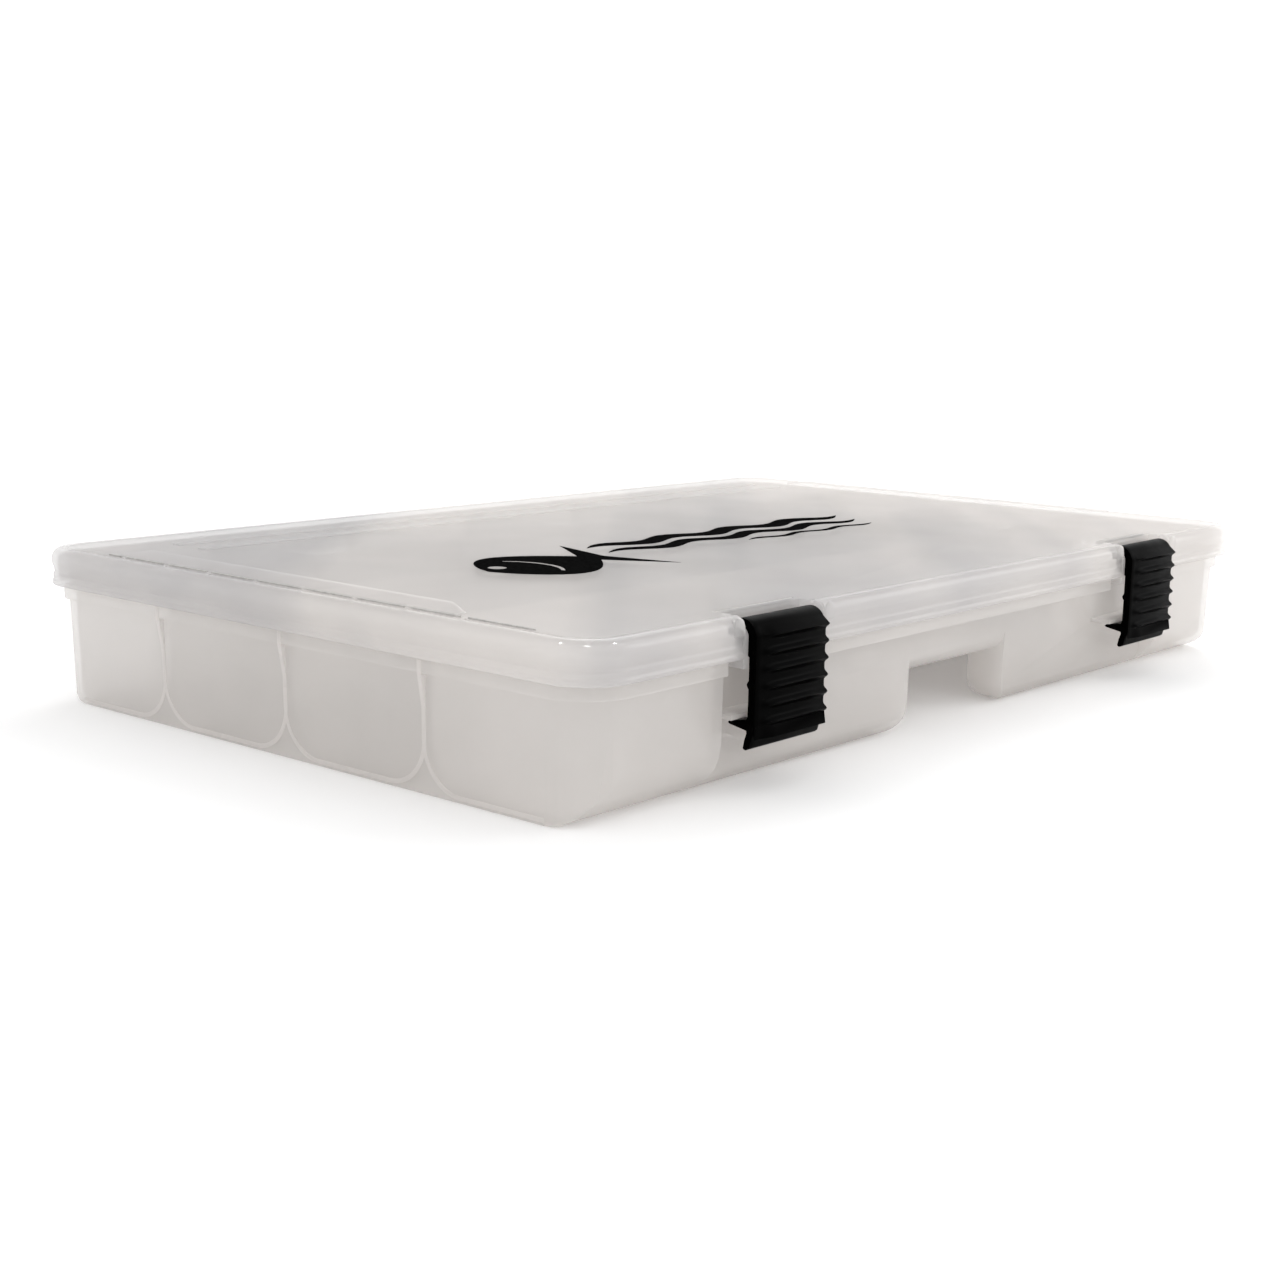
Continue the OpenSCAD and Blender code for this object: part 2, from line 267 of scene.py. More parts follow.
class Nodes:
    """Short calls for building a material's node tree."""

    def __init__(self, name):
        self.material = bpy.data.materials.new(name)
        self.material.use_nodes = True
        self.tree = self.material.node_tree
        self.tree.nodes.clear()
        self.output = self.add("ShaderNodeOutputMaterial")
        self.coords = self.add("ShaderNodeTexCoord").outputs["Object"]

    def add(self, kind, **settings):
        node = self.tree.nodes.new(kind)
        for key, value in settings.items():
            setattr(node, key, value)
        return node

    def link(self, source, target):
        self.tree.links.new(source, target)

    def noise(self, scale, detail=3.0, roughness=0.55, stretch=None, turn=0.0):
        """Noise over the object, stretched along its axes, which turn about Z by degrees."""
        source = self.coords
        if stretch is not None:
            turned = self.add("ShaderNodeMapping")
            turned.inputs["Rotation"].default_value = (0.0, 0.0, -math.radians(turn))
            self.link(source, turned.inputs["Vector"])
            mapping = self.add("ShaderNodeMapping")
            mapping.inputs["Scale"].default_value = stretch
            self.link(turned.outputs["Vector"], mapping.inputs["Vector"])
            source = mapping.outputs["Vector"]
        node = self.add("ShaderNodeTexNoise")
        node.inputs["Scale"].default_value = scale
        node.inputs["Detail"].default_value = detail
        node.inputs["Roughness"].default_value = roughness
        self.link(source, node.inputs["Vector"])
        return node.outputs["Fac"]

    def remap(self, value, low, high, from_low=0.3, from_high=0.7):
        """A value spread from one range over another; most noise lies between 0.3 and 0.7."""
        node = self.add("ShaderNodeMapRange")
        node.inputs["From Min"].default_value = from_low
        node.inputs["From Max"].default_value = from_high
        node.inputs["To Min"].default_value = low
        node.inputs["To Max"].default_value = high
        self.link(value, node.inputs["Value"])
        return node.outputs["Result"]

    def mix_colour(self, fac, first, second):
        """A blend of two colours, each a tuple or another node's output."""
        node = self.add("ShaderNodeMix", data_type="RGBA")
        self.link(fac, node.inputs["Factor"])
        for socket, value in ((node.inputs["A"], first), (node.inputs["B"], second)):
            if isinstance(value, tuple):
                socket.default_value = (*value, 1.0)
            else:
                self.link(value, socket)
        return node.outputs["Result"]

    def combined(self, first, second, operation="ADD"):
        """The sum, or another result, of two values that are numbers or outputs."""
        node = self.add("ShaderNodeMath", operation=operation)
        for socket, value in zip(node.inputs, (first, second)):
            if isinstance(value, (int, float)):
                socket.default_value = value
            else:
                self.link(value, socket)
        return node.outputs["Value"]

    def near_edge(self, half_x, half_y, width):
        """1 within a width in millimetres of a rectangle's sides, 0 further in."""
        split = self.add("ShaderNodeSeparateXYZ")
        self.link(self.coords, split.inputs[0])
        past = [self.combined(self.combined(split.outputs[axis], 0.0, "ABSOLUTE"),
                                half * MM, "SUBTRACT")
                for axis, half in (("X", half_x), ("Y", half_y))]
        return self.remap(self.combined(past[0], past[1], "MAXIMUM"), 0.0, 1.0,
                          -width * MM, -0.8 * width * MM)

    def bump(self, height, distance, strength):
        """A surface normal from a height, with its depth in millimetres."""
        node = self.add("ShaderNodeBump")
        node.inputs["Strength"].default_value = strength
        node.inputs["Distance"].default_value = distance * MM
        self.link(height, node.inputs["Height"])
        return node.outputs["Normal"]


SATIN = 0.3  # how much rougher the lid's sheet is than its polished edge


def clear_plastic(name, tint, clearness, glow, roughness, shade_streaks=0.0, texture=0.35,
                  polished=None):
    """Milky polypropylene. clearness is the share of light that goes straight through one
    surface, glow the share of the rest that comes through scattered, shade_streaks the depth
    of the painted bluish shade that runs in slanting stripes over a flat sheet, texture how
    rough the skin of the moulding is. polished is the half length, the half width and the
    breadth of an edge that is glossier than the sheet inside it."""
    n = Nodes(name)
    cloud = n.noise(14.0, 2.0)
    grain = n.noise(2600.0, 2.0, 0.6)
    flow = n.noise(38.0, 3.0, 0.5, stretch=(0.35, 1.0, 1.0))
    tone = n.mix_colour(n.remap(flow, 0.0, 1.0), tuple(c * 0.97 for c in tint), tint)
    # painted shade: slanting bluish stripes that darken the sheet's colour
    if shade_streaks:
        shade_marks = n.noise(11.0, 2.5, 0.45, stretch=(0.12, 1.6, 1.0), turn=40.4)
        shaded_tone = tuple(c * (1.0 - shade_streaks) + shift for c, shift in zip(tint, (0.0, 0.01, 0.03)))
        tone = n.mix_colour(n.remap(shade_marks, 1.0, 0.0, 0.38, 0.56), tone, shaded_tone)
    skin = n.add("ShaderNodeBsdfPrincipled")
    n.link(tone, skin.inputs["Base Color"])
    sheen = n.remap(cloud, roughness - 0.05, roughness + 0.06)
    if polished:
        sheen = n.combined(sheen, n.remap(n.near_edge(*polished), SATIN, 0.0, 0.0, 1.0))
    n.link(sheen, skin.inputs["Roughness"])
    skin.inputs["IOR"].default_value = 1.49
    skin.inputs["Specular IOR Level"].default_value = 1.0
    n.link(n.bump(n.combined(grain, n.combined(flow, 6.0, "MULTIPLY")), 0.02, texture),
           skin.inputs["Normal"])
    body = n.add("ShaderNodeBsdfTranslucent")
    n.link(tone, body.inputs["Color"])
    milk = n.add("ShaderNodeMixShader")
    milk.inputs["Fac"].default_value = glow
    n.link(skin.outputs[0], milk.inputs[1])
    n.link(body.outputs[0], milk.inputs[2])
    window = n.add("ShaderNodeBsdfTransparent")
    window.inputs["Color"].default_value = (0.965, 0.96, 0.955, 1.0)
    whole = n.add("ShaderNodeMixShader")
    n.link(n.remap(cloud, clearness - 0.04, clearness + 0.04), whole.inputs["Fac"])
    n.link(milk.outputs[0], whole.inputs[1])
    n.link(window.outputs[0], whole.inputs[2])
    n.link(whole.outputs[0], n.output.inputs["Surface"])
    return n.material


def black_plastic(name):
    """Moulded black plastic with a low sheen, fine grain and rubbed high spots."""
    n = Nodes(name)
    grain = n.noise(1900.0, 3.0, 0.6)
    patches = n.noise(120.0, 3.0)
    rub = n.add("ShaderNodeNewGeometry").outputs["Pointiness"]
    worn = n.remap(rub, 0.0, 1.0, 0.52, 0.6)
    colour = n.mix_colour(worn, (0.0002, 0.0002, 0.0002), (0.0014, 0.0014, 0.0015))
    shader = n.add("ShaderNodeBsdfPrincipled")
    n.link(colour, shader.inputs["Base Color"])
    n.link(n.remap(patches, 0.3, 0.4), shader.inputs["Roughness"])
    shader.inputs["IOR"].default_value = 1.49
    shader.inputs["Specular IOR Level"].default_value = 0.01
    n.link(n.bump(grain, 0.02, 0.4), shader.inputs["Normal"])
    n.link(shader.outputs[0], n.output.inputs["Surface"])
    return n.material


def drawn_steel(name):
    """Stainless wire with faint lines along its length."""
    n = Nodes(name)
    lines = n.noise(900.0, 3.0, 0.6, stretch=(0.03, 1.0, 1.0))
    shader = n.add("ShaderNodeBsdfPrincipled")
    n.link(n.mix_colour(n.remap(lines, 0.0, 1.0), (0.5, 0.5, 0.51), (0.62, 0.62, 0.63)),
           shader.inputs["Base Color"])
    shader.inputs["Metallic"].default_value = 1.0
    n.link(n.remap(lines, 0.26, 0.4), shader.inputs["Roughness"])
    n.link(n.bump(lines, 0.01, 0.4), shader.inputs["Normal"])
    n.link(shader.outputs[0], n.output.inputs["Surface"])
    return n.material


def printed_ink(name):
    """Pad-printed black ink, slightly thin in places."""
    n = Nodes(name)
    thin = n.noise(700.0, 3.0, 0.6)
    shader = n.add("ShaderNodeBsdfPrincipled")
    n.link(n.mix_colour(n.remap(thin, 0.0, 1.0), (0.002, 0.002, 0.002), (0.007, 0.007, 0.007)),
           shader.inputs["Base Color"])
    shader.inputs["Specular IOR Level"].default_value = 0.0
    n.link(n.remap(thin, 0.42, 0.55), shader.inputs["Roughness"])
    n.link(n.bump(thin, 0.008, 0.4), shader.inputs["Normal"])
    n.link(shader.outputs[0], n.output.inputs["Surface"])
    return n.material


def painted_groove_shadow(name):
    """Grey, mottled material that paints the shadow in narrow grooves."""
    n = Nodes(name)
    shadow_mottle = n.noise(420.0, 4.0, 0.65)
    shader = n.add("ShaderNodeBsdfPrincipled")
    n.link(n.mix_colour(n.remap(shadow_mottle, 0.0, 1.0), (0.33, 0.32, 0.31), (0.5, 0.485, 0.47)),
           shader.inputs["Base Color"])
    n.link(n.remap(shadow_mottle, 0.8, 0.95), shader.inputs["Roughness"])
    n.link(n.bump(shadow_mottle, 0.05, 0.6), shader.inputs["Normal"])
    n.link(shader.outputs[0], n.output.inputs["Surface"])
    return n.material


CLEAR = clear_plastic("clear_polypropylene", (0.882, 0.861, 0.845), 0.48, 0.5, 0.16)
# the lid's sheet carries painted bluish shade in slanting stripes
LID_CLEAR = clear_plastic("lid_polypropylene", (0.9, 0.879, 0.866), 0.5, 0.5, 0.09, 0.22, 0.1,
                          (LID_HALF_X, LID_HALF_Y, 5.0))
THICK = clear_plastic("thick_polypropylene", (0.893, 0.872, 0.857), 0.4, 0.5, 0.24)
DIVIDER = clear_plastic("divider_polypropylene", (0.78, 0.785, 0.79), 0.5, 0.5, 0.32)
BLACK = black_plastic("black_latch_plastic")
STEEL = drawn_steel("pin_wire")
INK = printed_ink("lid_print_ink")
# painted shadow: the grey strips laid in the lid's grooves
GROOVE_SHADE = painted_groove_shadow("painted_groove_shadow")


# ---------------------------------------------------------------- tray

def lean_in(obj):
    """Gives the lower walls the slight taper of a moulding."""
    for vertex in obj.data.vertices:
        drop = max(0.0, 1.0 - vertex.co.z / MM / DRAFT_TOP)
        vertex.co.x *= 1.0 - DRAFT * drop / TRAY_HALF_X
        vertex.co.y *= 1.0 - DRAFT * drop / LID_HALF_Y


def copy_of(node):
    """A separate copy of a CAD node's own form."""
    obj = bpy.data.objects.new(node + "_copy", NODES[node].data.copy())
    bpy.context.scene.collection.objects.link(obj)
    return obj


def make_tray():
    """The tray's own form from the frame, leaned in and with softened edges."""
    tray = copy_of("base_tray")
    tidy_mesh(tray)
    lean_in(tray)
    bevel(tray, 0.35, 2, 40.0)
    apply_modifiers(tray)
    soften(tray)
    finish_piece(tray, "tray_moulding", CLEAR, "base", ["base_tray"])


RIB_FOOT = 9.0  # how far below the band the ribs on the end walls start
RIB_OUT = 1.6  # how far the ribs stand out where they meet the band
RIB_HALF_W = 0.75


def lane_band(lane):
    """(y, z) outline of one lane's wall where it meets the end wall of the tray."""
    middle = (lane - 1.5) * LANE_PITCH
    half = (LANE_PITCH + WALL) / 2
    flat_end = FACE_Y - LANE_R
    base, top = 0.5, COLLAR_Z - 0.3

    def path(inset):
        radius = LANE_R - inset
        low = middle - half + LANE_R
        high = middle + half - LANE_R
        if lane == 0:
            front = [(-flat_end, base + inset)]
        else:
            front = [(low - radius, top)] + arc(low, LANE_R + base, radius, 180, 270, 14)
        if lane == 3:
            rear = [(flat_end, base + inset)]
        else:
            rear = arc(high, LANE_R + base, radius, 270, 360, 14) + [(high + radius, top)]
        return front + rear

    return path(0.15) + path(WALL - 0.35)[::-1]


def make_lane_lines(side, name):
    """Thicker plastic that shows on an end wall as the lanes' outlines. Above each wall
    between two lanes it spreads into a small rib that meets the band under the skirt."""
    start, end = sorted((side * (END_X - 0.25), side * (END_X + 0.12)))
    bands = [prism("lane_band", lane_band(lane), "x", start, end) for lane in range(4)]
    outer = END_X + RIB_OUT
    inner = outer - 0.35
    rib = [(END_X - 0.1, COLLAR_Z - RIB_FOOT), (END_X + 0.14, COLLAR_Z - RIB_FOOT),
           (outer, COLLAR_Z + 0.2), (outer, SKIRT_Z - 0.6),
           (inner, SKIRT_Z - 0.6), (inner, COLLAR_Z + 0.2),
           (END_X - 0.1, COLLAR_Z - 0.2)]
    for joint in (-1, 0, 1):
        y = joint * LANE_PITCH
        bands.append(prism("lane_rib", [(side * x, z) for x, z in rib], "y",
                           y - RIB_HALF_W, y + RIB_HALF_W))
    lines = join_solids(bands[0], bands[1:])
    bevel(lines, 0.06, 2, 50.0)
    apply_modifiers(lines)
    lean_in(lines)
    soften(lines)
    finish_piece(lines, name, THICK, "base")


# ---------------------------------------------------------------- dividers

LEAF_R = 12.0  # lower corners of a leaf that stands in a round lane bottom
SHORT_LEAF_R = 4.2  # lower corners of a leaf on the raised floor
LEAF_TOP_R = 2.0


def make_divider(node):
    """A thin leaf with rounded lower corners and soft edges."""
    low, high = node_box(node)
    radius = LEAF_R if low.z < LANE_R else SHORT_LEAF_R
    outline = (arc(low.y + radius, low.z + radius, radius, 180, 270, 10)
               + arc(high.y - radius, low.z + radius, radius, 270, 360, 10)
               + arc(high.y - LEAF_TOP_R, high.z - LEAF_TOP_R, LEAF_TOP_R, 0, 90, 4)
               + arc(low.y + LEAF_TOP_R, high.z - LEAF_TOP_R, LEAF_TOP_R, 90, 180, 4))
    leaf = prism(node + "_leaf", outline, "x", low.x, high.x, 0.35)
    lean_in(leaf)
    soften(leaf)
    finish_piece(leaf, node + "_leaf", DIVIDER, "base", [node])


# ---------------------------------------------------------------- lid

LIP_R = 0.8  # bead along the skirt's lower edge
EDGE_R = 3.3
GROOVE_IN = 3.5  # from the lid's side in to the groove along its top
GROOVE_DEPTH = 0.6
REAR_GROOVE_Y = OPENING_Y + 2.2  # a short groove behind each latch
REAR_GROOVE_HALF_W = 0.6
NUB_R = 2.1
BRIDGE_HALF_W = 1.2
BRIDGE_COUNT = 8
BRIDGE_PITCH = 20.3
BRIDGE_SHIFT = 3.4
BRIDGE_YS = [(i - (BRIDGE_COUNT - 1) / 2) * BRIDGE_PITCH + BRIDGE_SHIFT
             for i in range(BRIDGE_COUNT)]
BAND_IN = 5.5  # from the lid's end in to the raised band there
BAND_INNER = 18.5
BAND_BACK = 35.0  # from the lid's back to that band's back end
BAND_FRONT = 0.44  # share of the lid's half width to that band's front end
BAND_TAPER = (4.0, 14.0)  # how far that end is cut in, and how far it runs on
BACK_BANDS = (42.0, 29.0)  # from the lid's back in to the two bands along it
BACK_BAND_W = 4.0
BACK_BAND_END = 32.5


def skirt_profile():
    """(inset from the outer face, height) from the skirt's inner lip, round the outside,
    to the top sheet."""
    bead = arc(LIP_R, SKIRT_Z + LIP_R + 0.05, LIP_R, 270, 180, 6)
    waist = [(inset, SKIRT_Z + rise) for inset, rise in (
        (0.03, 1.25), (0.14, 1.5), (0.34, 1.8), (0.38, 2.3), (0.36, 3.2), (0.44, 3.5),
        (0.66, 3.9), (0.7, 4.4), (0.5, 5.6), (0.0, 7.0))]
    upper = arc(EDGE_R, PLATE_TOP - EDGE_R, EDGE_R, 180, 92, 8)
    floor = PLATE_TOP - GROOVE_DEPTH
    groove = [(GROOVE_IN + 0.05, PLATE_TOP - 0.08), (GROOVE_IN + 0.25, floor),
              (GROOVE_IN + 0.95, floor), (GROOVE_IN + 1.15, PLATE_TOP - 0.05),
              (GROOVE_IN + 1.45, PLATE_TOP)]
    inner = [(WALL + 0.6, SKIRT_Z + 0.9), (WALL + 0.35, SKIRT_Z + 0.3)]
    return inner + bead + waist + upper + groove


def hollow_profile():
    """The inside of the skirt, from its open edge up to the underside of the top sheet."""
    return ([(WALL + 0.6, SKIRT_Z + 0.9), (WALL + 0.15, SKIRT_Z + 2.5)]
            + arc(WALL + 2.2, PLATE_BOTTOM - 2.2, 2.2, 180, 90, 6))


def perimeter_ring(inset, z):
    """The lid's outline at one height, set in from its outer face."""
    radius = max(CORNER_R - inset, 1.0)
    return [(x, y, z) for x, y in
            rounded_loop(LID_HALF_X - inset, LID_HALF_Y - inset, radius)]


def lid_shell():
    """Top sheet and skirt as one closed moulding."""
    rings = [perimeter_ring(*p) for p in reversed(hollow_profile())]
    rings += [perimeter_ring(*p) for p in skirt_profile()[1:]]
    return loft("lid_shell", rings)


def opening_span(side, spare=0.0):
    """Lowest and highest X of one latch opening, less a margin at each end."""
    reach = OPENING_W / 2 - spare
    return sorted((side * (LATCH_X - reach), side * (LATCH_X + reach)))


def latch_opening_cutter(side):
    """Cuts one latch opening through the lid's front edge."""
    low_x, high_x = opening_span(side)
    return [box_piece("opening_cut", (low_x, -LID_HALF_Y - 5, SKIRT_Z - 5),
                      (high_x, OPENING_Y, CASE_TOP + 5))]


def latch_opening_walls(side):
    """Back wall, cheeks, rod and ears of one latch opening."""
    low_x, high_x = opening_span(side)
    made = [box_piece("opening_back", (low_x - WALL, OPENING_Y, SKIRT_Z),
                      (high_x + WALL, OPENING_Y + OPENING_WALL, PLATE_TOP - 0.9), 0.3)]
    for x in (low_x - WALL, high_x):
        made.append(box_piece("opening_cheek", (x, -LID_HALF_Y + 0.9, SKIRT_Z + 0.5),
                              (x + WALL, OPENING_Y + 1.0, PLATE_TOP - 0.9), 0.3))
    made.append(rod_piece("latch_rod", low_x - 0.6, high_x + 0.6, PIVOT.y, PIVOT.z, ROD_R, 0.1))
    ear_w, ear_low = 2.6, 8.0
    outline = ([(PIVOT.y - ear_w, PIVOT.z - ear_low), (PIVOT.y + ear_w, PIVOT.z - ear_low)]
               + arc(PIVOT.y, PIVOT.z, ear_w, 0, 180, 14))
    for x in (low_x - 0.4, high_x - 1.6):
        made.append(prism("latch_ear", outline, "x", x, x + 2.0, 0.25))
    return made


def lid_rails():
    """Low raised bands: one along each end and two along the back."""
    made = []
    back, front = LID_HALF_Y - BAND_BACK, -LID_HALF_Y * BAND_FRONT
    outer, inner = LID_HALF_X - BAND_IN, LID_HALF_X - BAND_INNER
    cut, run = BAND_TAPER
    low, high = PLATE_TOP - 0.45, CASE_TOP
    for side in (1, -1):
        outline = [(side * inner, back), (side * inner, front),
                   (side * (outer - cut), front - run), (side * outer, front - run),
                   (side * outer, back)]
        made.append(prism("end_band", outline, "z", low, high, 0.4, 3))
    reach = LID_HALF_X - BACK_BAND_END
    for inset in BACK_BANDS:
        made.append(box_piece("back_band", (-reach, LID_HALF_Y - inset, low),
                              (reach, LID_HALF_Y - inset + BACK_BAND_W, high), 0.4, 3))
    return made


def groove_bridges():
    """Short bridges that interrupt the groove along each end of the lid."""
    made = []
    for side in (1, -1):
        for y in BRIDGE_YS:
            low_x, high_x = sorted((side * (LID_HALF_X - GROOVE_IN - 1.5),
                                    side * (LID_HALF_X - GROOVE_IN + 0.4)))
            made.append(box_piece("groove_bridge", (low_x, y - BRIDGE_HALF_W, PLATE_TOP - 1.0),
                                  (high_x, y + BRIDGE_HALF_W, PLATE_TOP - 0.03), 0.2))
    return made


HINGE_PINS = ("hinge_pin_left", "hinge_pin_centre", "hinge_pin_right")


def hinge_knuckles():
    """The lid's part of each hinge, on a web from the lid's back."""
    made = []
    for node in HINGE_PINS:
        low, high = node_box(node)
        x = (low.x + high.x) / 2
        made.append(rod_piece("knuckle", x - KNUCKLE_L / 2, x + KNUCKLE_L / 2, HINGE.y,
                              HINGE.z, KNUCKLE_R, 0.4))
        made.append(box_piece("knuckle_web", (x - KNUCKLE_L / 2 + 0.2, LID_HALF_Y - 1.4, HINGE.z),
                              (x + KNUCKLE_L / 2 - 0.2, LID_HALF_Y - 0.1, SKIRT_Z + 3.0), 0.2))
    return made


def knuckle_bores():
    """Cuts the pins' holes through the knuckles."""
    made = []
    for node in HINGE_PINS:
        low, high = node_box(node)
        made.append(rod_piece("bore", low.x, high.x, HINGE.y, HINGE.z, PIN_R + PIN_PLAY, 0.0))
    return made


def rear_grooves(side):
    """Cuts the short groove behind one latch."""
    low_x, high_x = opening_span(side)
    return [box_piece("rear_groove", (low_x, REAR_GROOVE_Y - REAR_GROOVE_HALF_W, PLATE_TOP - 0.9),
                      (high_x, REAR_GROOVE_Y + REAR_GROOVE_HALF_W, CASE_TOP + 1))]


def edge_nubs(side):
    """Two small rounded nubs on the lid's edge beside each latch."""
    made = []
    reach = OPENING_W / 2 + NUB_R + 0.5
    for x in (side * (LATCH_X - reach), side * (LATCH_X + reach)):
        outline = arc(x, PLATE_TOP - NUB_R - 0.1, NUB_R, 0, 180, 12) + [
            (x - NUB_R, PLATE_TOP - 5.0), (x + NUB_R, PLATE_TOP - 5.0)]
        made.append(prism("edge_nub", outline, "y", -LID_HALF_Y - 0.15, OPENING_Y + 1.0, 0.35))
    return made


def make_painted_groove_shadow():
    """Grey strips of painted shadow along the foot of the left end band and in the grooves behind
    the latches.
    """
    strips = []
    reach = BRIDGE_HALF_W + 0.1
    gaps = [y + e for y in BRIDGE_YS for e in (-reach, reach)]
    edges = [BRIDGE_YS[0] - 24.0] + gaps + [LID_HALF_Y - 32.0]
    foot = BAND_IN - LID_HALF_X
    for start, end in zip(edges[::2], edges[1::2]):
        strips.append(box_piece("groove_shadow", (foot - 0.3, start, PLATE_TOP - 0.2),
                                (foot + 0.15, end, PLATE_TOP + 0.42), 0.1))
    for side in (1, -1):
        low_x, high_x = opening_span(side, 0.4)
        strips.append(box_piece("groove_shadow", (low_x, REAR_GROOVE_Y - 0.56, PLATE_TOP - 1.0),
                                (high_x, REAR_GROOVE_Y + 0.56, PLATE_TOP - 0.12), 0.06))
    groove_shadow = join_solids(strips[0], strips[1:])
    soften(groove_shadow)
    finish_piece(groove_shadow, "lid_painted_groove_shadow", GROOVE_SHADE, "lid")


def make_lid():
    """The whole lid as one moulding: its edges are softened before the small parts join it."""
    lid = lid_shell()
    cut_solids(lid, mirrored(latch_opening_cutter))
    bevel(lid, 0.35, 3, 50.0)
    apply_modifiers(lid)
    join_solids(lid, mirrored(latch_opening_walls) + mirrored(edge_nubs) + lid_rails()
                + groove_bridges() + hinge_knuckles())
    cut_solids(lid, knuckle_bores() + mirrored(rear_grooves))
    soften(lid)
    finish_piece(lid, "lid_moulding", LID_CLEAR, "lid", ["lid"])


# ---------------------------------------------------------------- latches

LATCH_T = 2.4
RIB_H = 1.3
RIB_COUNT = 6
RIB_PITCH = 4.55
RIB_FADE = 6.5
TOE_Z = 12.9  # middle of the rounded lower end
TOE_R = 0.9
CATCH_Z = 18.5  # tip of the catch
BEAD_Z = 29.0  # middle of the small bead inside the grip


def latch_profile(ribs):
    """(y, z) outline of a latch: over its curl, down the grip and its ribs, round the toe and
    up the inside. ribs scales the ribs' height."""
    face = PIVOT.y - CURL_R - 0.5
    back = face + LATCH_T
    top_rib = PIVOT.z + 0.4
    curl = arc(PIVOT.y, PIVOT.z, CURL_R, -35, 150, 20)
    outside = []
    steps = 10
    for i in range(RIB_COUNT):
        centre = top_rib - i * RIB_PITCH
        for k in range(steps):
            t = k / steps
            height = RIB_H * ribs * math.cos(math.pi * t) ** 6
            outside.append((face - height + 0.15, centre - t * RIB_PITCH))
    lip = [(face + 0.1, TOE_Z + 5.7), (face + 0.4, TOE_Z + 4.5), (face + 1.75, TOE_Z - 0.3)]
    toe = arc(face + 2.9, TOE_Z, TOE_R, 200, 330, 5)
    catch = [(back + 0.9, TOE_Z + 1.6), (back + 0.25, CATCH_Z - 2.1),
             (back + 0.35, CATCH_Z - 1.4), (PIVOT.y + 3.1, CATCH_Z - 0.4),
             (PIVOT.y + 3.7, CATCH_Z), (PIVOT.y + 3.1, CATCH_Z + 0.5),
             (back + 0.4, CATCH_Z + 1.4), (back + 0.05, CATCH_Z + 2.3)]
    bead = [(back, BEAD_Z - 1.1), (back + 0.35, BEAD_Z - 0.6), (back + 0.6, BEAD_Z),
            (back + 0.35, BEAD_Z + 0.6), (back, BEAD_Z + 1.1), (back, PIVOT.z - 5.2)]
    return curl + outside + lip + toe + catch + bead


def make_latch(name):
    """A swing latch, whose grip ribs fade in over RIB_FADE from its left end."""
    node = "latch_" + name
    low, high = node_box(node)

    def ring(x, ribs):
        return [(x, y, z) for y, z in latch_profile(ribs)]

    rings = [ring(low.x, 0.0)]
    steps = 8
    rings += [ring(low.x + 2.0 + RIB_FADE * t / steps,
                   math.sin(0.5 * math.pi * t / steps) ** 1.5) for t in range(steps + 1)]
    rings.append(ring(high.x, 1.0))
    latch = loft(node + "_body", rings)
    cut_solids(latch, [rod_piece("bore", low.x - 1, high.x + 1, PIVOT.y, PIVOT.z,
                                 ROD_R + ROD_PLAY, 0.0)])
    bevel(latch, 0.3, 2, 55.0)
    apply_modifiers(latch)
    soften(latch)
    finish_piece(latch, node + "_body", BLACK, node, [node])


# ---------------------------------------------------------------- pins

def make_pin(node):
    """A plain steel hinge pin."""
    low, high = node_box(node)
    pin = rod_piece(node + "_wire", low.x, high.x, HINGE.y, HINGE.z, PIN_R, 0.2)
    soften(pin)
    finish_piece(pin, node + "_wire", STEEL, "base", [node])


# ---------------------------------------------------------------- print on the lid

INK_T = 0.06


def flat_shape(name, outline):
    """A thin film that lies on the lid's sheet."""
    return prism(name, outline, "z", PLATE_TOP - 0.02, PLATE_TOP + INK_T)


def ribbon(name, start, end, y, swing, waves, width):
    """A wavy stroke that tapers to a point at both ends."""
    steps = 48
    upper, lower = [], []
    for i in range(steps + 1):
        t = i / steps
        x = start + (end - start) * t
        centre = y + swing * math.sin(2 * math.pi * waves * t)
        half = 0.5 * width * min(1.0, 9.0 * t + 0.02, 9.0 * (1.0 - t) + 0.02)
        upper.append((x, centre + half))
        lower.append((x, centre - half))
    return flat_shape(name, lower + upper[::-1])


def fish(name, x, y, length, height):
    """A plain fish: a lens-shaped body, a forked tail and a round eye left open."""
    steps = 28
    tail = x + length * 0.76

    def half(t):
        return 0.5 * height * math.sin(math.pi * min(1.0, 0.004 + 0.93 * t ** 0.8)) ** 0.9

    back = [(x + (tail - x) * i / steps, y + half(i / steps)) for i in range(steps + 1)]
    belly = [(px, 2 * y - py) for px, py in back]
    fin = [(x + length, y + height * 0.62), (x + length * 0.88, y),
           (x + length, y - height * 0.62)]
    body = flat_shape(name, belly + fin[::-1] + back[::-1])
    eye = arc(x + length * 0.13, y + height * 0.1, height * 0.07, 0, 345, 23)
    gill = (arc(x + length * 0.13, y, height * 0.42, -50, 50, 12)
            + arc(x + length * 0.1, y, height * 0.42, 45, -45, 12))
    return cut_solids(body, [prism("cut", outline, "z", PLATE_TOP - 1, PLATE_TOP + 1)
                             for outline in (eye, gill)])


def make_print():
    """A plain fish over waves, printed on the lid."""
    mark = fish("fish", x=-114.0, y=-17.0, length=56.0, height=40.0)
    waves = [ribbon("wave", -56.0, 80.0, y=-2.0, swing=2.4, waves=4.0, width=7.5),
             ribbon("wave", -58.0, 76.0, y=-13.0, swing=2.4, waves=4.0, width=6.0),
             ribbon("wave", 0.0, 72.0, y=-23.0, swing=1.2, waves=3.0, width=2.6)]
    join_solids(mark, waves)
    finish_piece(mark, "lid_print", INK, "lid")


# ---------------------------------------------------------------- stage

FLOOR_HALF = 3000.0
FLOOR_Z = -0.2  # just under the case, so that the two don't share a plane


